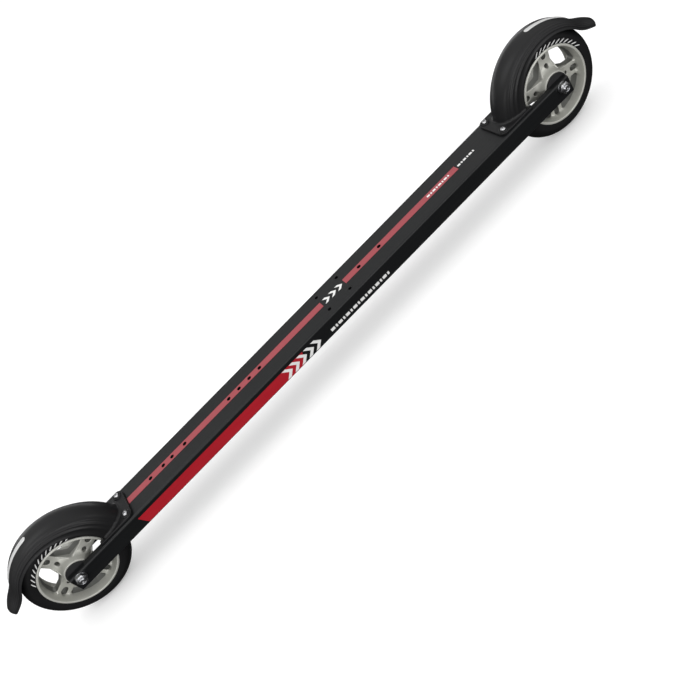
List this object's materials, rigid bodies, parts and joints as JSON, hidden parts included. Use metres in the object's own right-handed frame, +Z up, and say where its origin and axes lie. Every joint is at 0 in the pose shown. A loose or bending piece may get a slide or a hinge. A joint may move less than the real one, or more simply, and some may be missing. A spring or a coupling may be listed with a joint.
{
  "type": "roller ski",
  "caption": "Skate roller ski for dry-land cross-country training: black alloy beam, spoked wheels in forked ends, mudguards.",
  "frame": {"origin": "on the ground under the middle of the ski, halfway between the axles", "axes": "+X along the ski towards the toe end, +Y to the left, +Z up from the ground"},
  "size_m": [0.742, 0.0556, 0.1069],
  "materials": {
    "anodised_black": "fine satin black anodising",
    "guard_plastic": "moulded, satin",
    "screw_steel": "zinc plated",
    "reflector_white": "white reflective strip",
    "cast_alloy": "fine cast, warm silver",
    "tyre_rubber": "smooth solid rubber",
    "bearing_steel": "ground and polished",
    "cage_brass": "pressed",
    "seal_rubber": "matt",
    "sleeve_alloy": "turned",
    "spacer_plastic": "matt black",
    "axle_steel": "zinc plated",
    "washer_steel": "zinc plated",
    "nut_steel": "zinc plated",
    "red_film_top": "printed red, satin",
    "red_film_side": "printed red, satin",
    "pale_film": "printed white, satin"
  },
  "bodies": {
    "ski": {"beam": "anodised_black", "front_mudguard": "guard_plastic", "front_guard_screws": "screw_steel", "front_reflector": "reflector_white", "front_bearing_inner_rings": "bearing_steel", "front_hub_sleeve": "sleeve_alloy", "front_axle_spacers": "spacer_plastic", "front_axle_bolt": "axle_steel", "front_axle_washers": "washer_steel", "front_axle_nut": "nut_steel", "rear_mudguard": "guard_plastic", "rear_guard_screws": "screw_steel", "rear_reflector": "reflector_white", "rear_bearing_inner_rings": "bearing_steel", "rear_hub_sleeve": "sleeve_alloy", "rear_axle_spacers": "spacer_plastic", "rear_axle_bolt": "axle_steel", "rear_axle_washers": "washer_steel", "rear_axle_nut": "nut_steel", "top_stripe": "red_film_top", "right_side_panel": "red_film_side", "left_side_panel": "red_film_side", "top_marks": "pale_film", "right_side_marks": "pale_film", "left_side_marks": "pale_film"},
    "front_wheel": {"front_hub": "cast_alloy", "front_tyre": "tyre_rubber", "front_bearing_outer_rings": "bearing_steel", "front_bearing_balls": "bearing_steel", "front_bearing_cages": "cage_brass", "front_bearing_seals": "seal_rubber"},
    "rear_wheel": {"rear_hub": "cast_alloy", "rear_tyre": "tyre_rubber", "rear_bearing_outer_rings": "bearing_steel", "rear_bearing_balls": "bearing_steel", "rear_bearing_cages": "cage_brass", "rear_bearing_seals": "seal_rubber"}
  },
  "joints": [
    {"name": "front_wheel_spin", "type": "hinge", "parent": "ski", "child": "front_wheel", "pos_m": [0.305, 0, 0.05], "axis": [0, 1, 0], "continuous": true},
    {"name": "rear_wheel_spin", "type": "hinge", "parent": "ski", "child": "rear_wheel", "pos_m": [-0.305, 0, 0.05], "axis": [0, 1, 0], "continuous": true}
  ]
}
